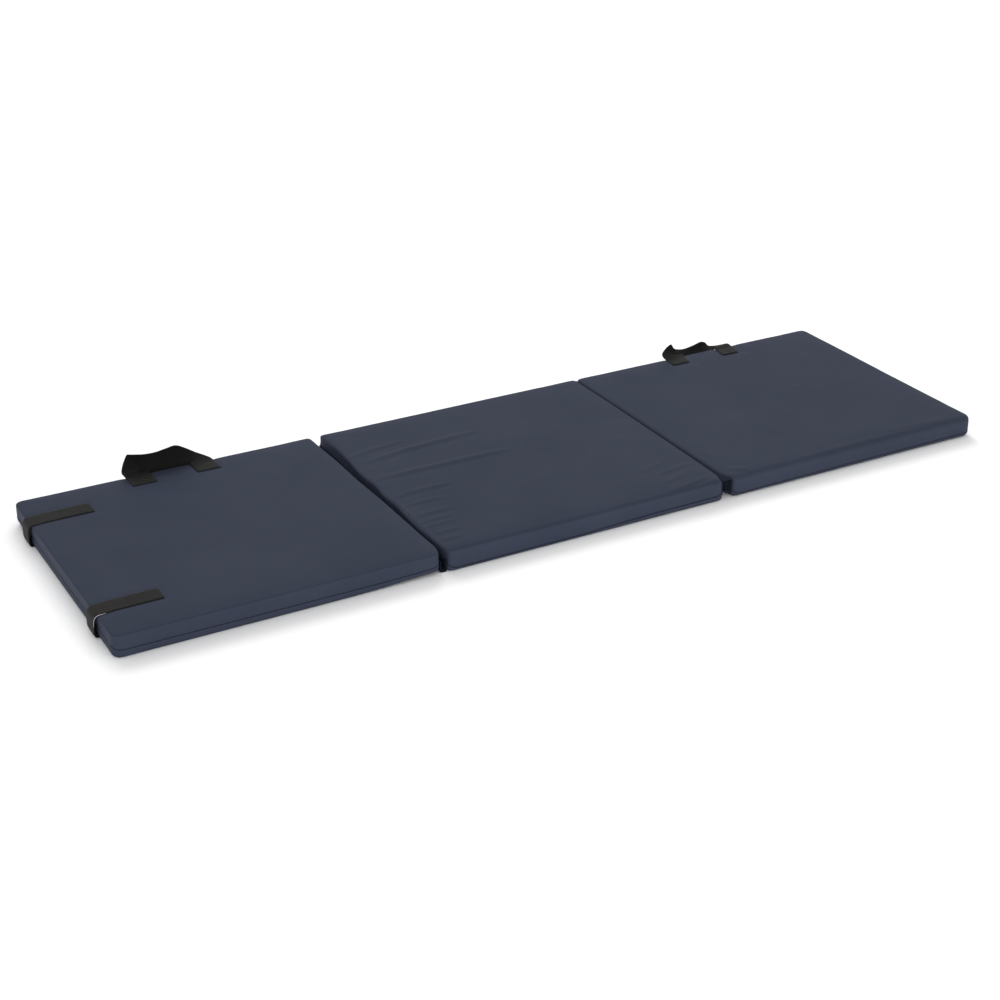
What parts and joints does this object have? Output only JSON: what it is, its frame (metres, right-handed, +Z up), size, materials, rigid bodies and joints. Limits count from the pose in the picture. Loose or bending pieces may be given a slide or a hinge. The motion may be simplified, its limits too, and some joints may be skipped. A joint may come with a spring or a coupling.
{
  "type": "folding gym mat",
  "caption": "Padded exercise mat in hinged panels that Z-fold into a flat stack, with webbing carry handles on one long edge and closing straps at one end.",
  "frame": {"origin": "centre of the middle panel's underside", "axes": "+X along the mat's length, from the strap end to the plain end; +Y towards the long edge with the handles; +Z up out of the exercise surface"},
  "size_m": [1.8066, 0.604, 0.0826],
  "materials": {
    "cover_vinyl": "navy vinyl-coated cloth, fine grain, satin",
    "hinge_vinyl": "the same vinyl in the folds' shade",
    "foam": "open-cell polyurethane foam",
    "webbing": "woven polypropylene webbing, black",
    "hook_tape": "nylon hooks",
    "loop_tape": "brushed nylon loops",
    "zip_tape": "woven tape with a moulded coil",
    "slider_metal": "dark lacquered zinc"
  },
  "bodies": {
    "middle_panel": {"middle_foam_core": "foam", "middle_top_cover": "cover_vinyl", "middle_base_cover": "cover_vinyl", "middle_zip_chain": "zip_tape", "left_hinge_strip": "hinge_vinyl", "right_hinge_strip": "hinge_vinyl"},
    "left_panel": {"left_foam_core": "foam", "left_top_cover": "cover_vinyl", "left_base_cover": "cover_vinyl", "left_zip_chain": "zip_tape", "left_handle_sewn_end_left": "webbing", "left_handle_sewn_end_right": "webbing", "front_strap_sewn_end": "webbing", "back_strap_sewn_end": "webbing"},
    "right_panel": {"right_foam_core": "foam", "right_top_cover": "cover_vinyl", "right_base_cover": "cover_vinyl", "right_zip_chain": "zip_tape", "right_handle_sewn_end_left": "webbing", "right_handle_sewn_end_right": "webbing", "front_loop_patch": "loop_tape", "back_loop_patch": "loop_tape"},
    "left_handle": {"left_handle_loop": "webbing"},
    "right_handle": {"right_handle_loop": "webbing"},
    "left_slider": {"left_zip_slider": "slider_metal"},
    "middle_slider": {"middle_zip_slider": "slider_metal"},
    "right_slider": {"right_zip_slider": "slider_metal"},
    "front_strap_upper_length": {"front_strap_side": "webbing"},
    "front_strap_middle_length": {"front_strap_wrap": "webbing"},
    "front_strap_end_length": {"front_strap_tip": "webbing", "front_hook_tape": "hook_tape"},
    "back_strap_upper_length": {"back_strap_side": "webbing"},
    "back_strap_middle_length": {"back_strap_wrap": "webbing"},
    "back_strap_end_length": {"back_strap_tip": "webbing", "back_hook_tape": "hook_tape"}
  },
  "joints": [
    {"name": "fold_left", "type": "hinge", "parent": "middle_panel", "child": "left_panel", "pos_m": [-0.3015, 0, -0.0005], "axis": [0, -1, 0], "range_deg": [0, 180], "deforming": ["left_hinge_strip"]},
    {"name": "fold_right", "type": "hinge", "parent": "middle_panel", "child": "right_panel", "pos_m": [0.3015, 0, 0.045], "axis": [0, -1, 0], "range_deg": [0, 180], "deforming": ["right_hinge_strip"]},
    {"name": "left_handle_swing", "type": "hinge", "parent": "left_panel", "child": "left_handle", "pos_m": [-0.6, 0.2845, 0.0431], "axis": [1, 0, 0], "range_deg": [-140, 60]},
    {"name": "right_handle_swing", "type": "hinge", "parent": "right_panel", "child": "right_handle", "pos_m": [0.618, 0.2845, 0.0431], "axis": [1, 0, 0], "range_deg": [-70, 18]},
    {"name": "left_zip_slide", "type": "slide", "parent": "left_panel", "child": "left_slider", "axis": [1, 0, 0], "range_m": [0, 0.5]},
    {"name": "middle_zip_slide", "type": "slide", "parent": "middle_panel", "child": "middle_slider", "axis": [1, 0, 0], "range_m": [0, 0.5]},
    {"name": "right_zip_slide", "type": "slide", "parent": "right_panel", "child": "right_slider", "axis": [1, 0, 0], "range_m": [0, 0.5]},
    {"name": "front_strap_peel", "type": "hinge", "parent": "left_panel", "child": "front_strap_upper_length", "pos_m": [-0.897, -0.18, 0.0431], "axis": [0, -1, 0], "range_deg": [-135, 0]},
    {"name": "front_strap_wrap", "type": "hinge", "parent": "front_strap_upper_length", "child": "front_strap_middle_length", "pos_m": [-0.9058, -0.18, 0.001], "axis": [0, 1, 0], "range_deg": [0, 90]},
    {"name": "front_strap_close", "type": "hinge", "parent": "front_strap_middle_length", "child": "front_strap_end_length", "pos_m": [-0.8108, -0.18, 0.001], "axis": [0, -1, 0], "range_deg": [0, 90]},
    {"name": "back_strap_peel", "type": "hinge", "parent": "left_panel", "child": "back_strap_upper_length", "pos_m": [-0.897, 0.186, 0.0431], "axis": [0, -1, 0], "range_deg": [-135, 0]},
    {"name": "back_strap_wrap", "type": "hinge", "parent": "back_strap_upper_length", "child": "back_strap_middle_length", "pos_m": [-0.9058, 0.186, 0.001], "axis": [0, 1, 0], "range_deg": [0, 90]},
    {"name": "back_strap_close", "type": "hinge", "parent": "back_strap_middle_length", "child": "back_strap_end_length", "pos_m": [-0.8108, 0.186, 0.001], "axis": [0, -1, 0], "range_deg": [0, 90]}
  ],
  "couplings": [
    {"joint": "front_strap_close", "follows": "front_strap_wrap", "ratio": 1},
    {"joint": "back_strap_close", "follows": "back_strap_wrap", "ratio": 1}
  ]
}
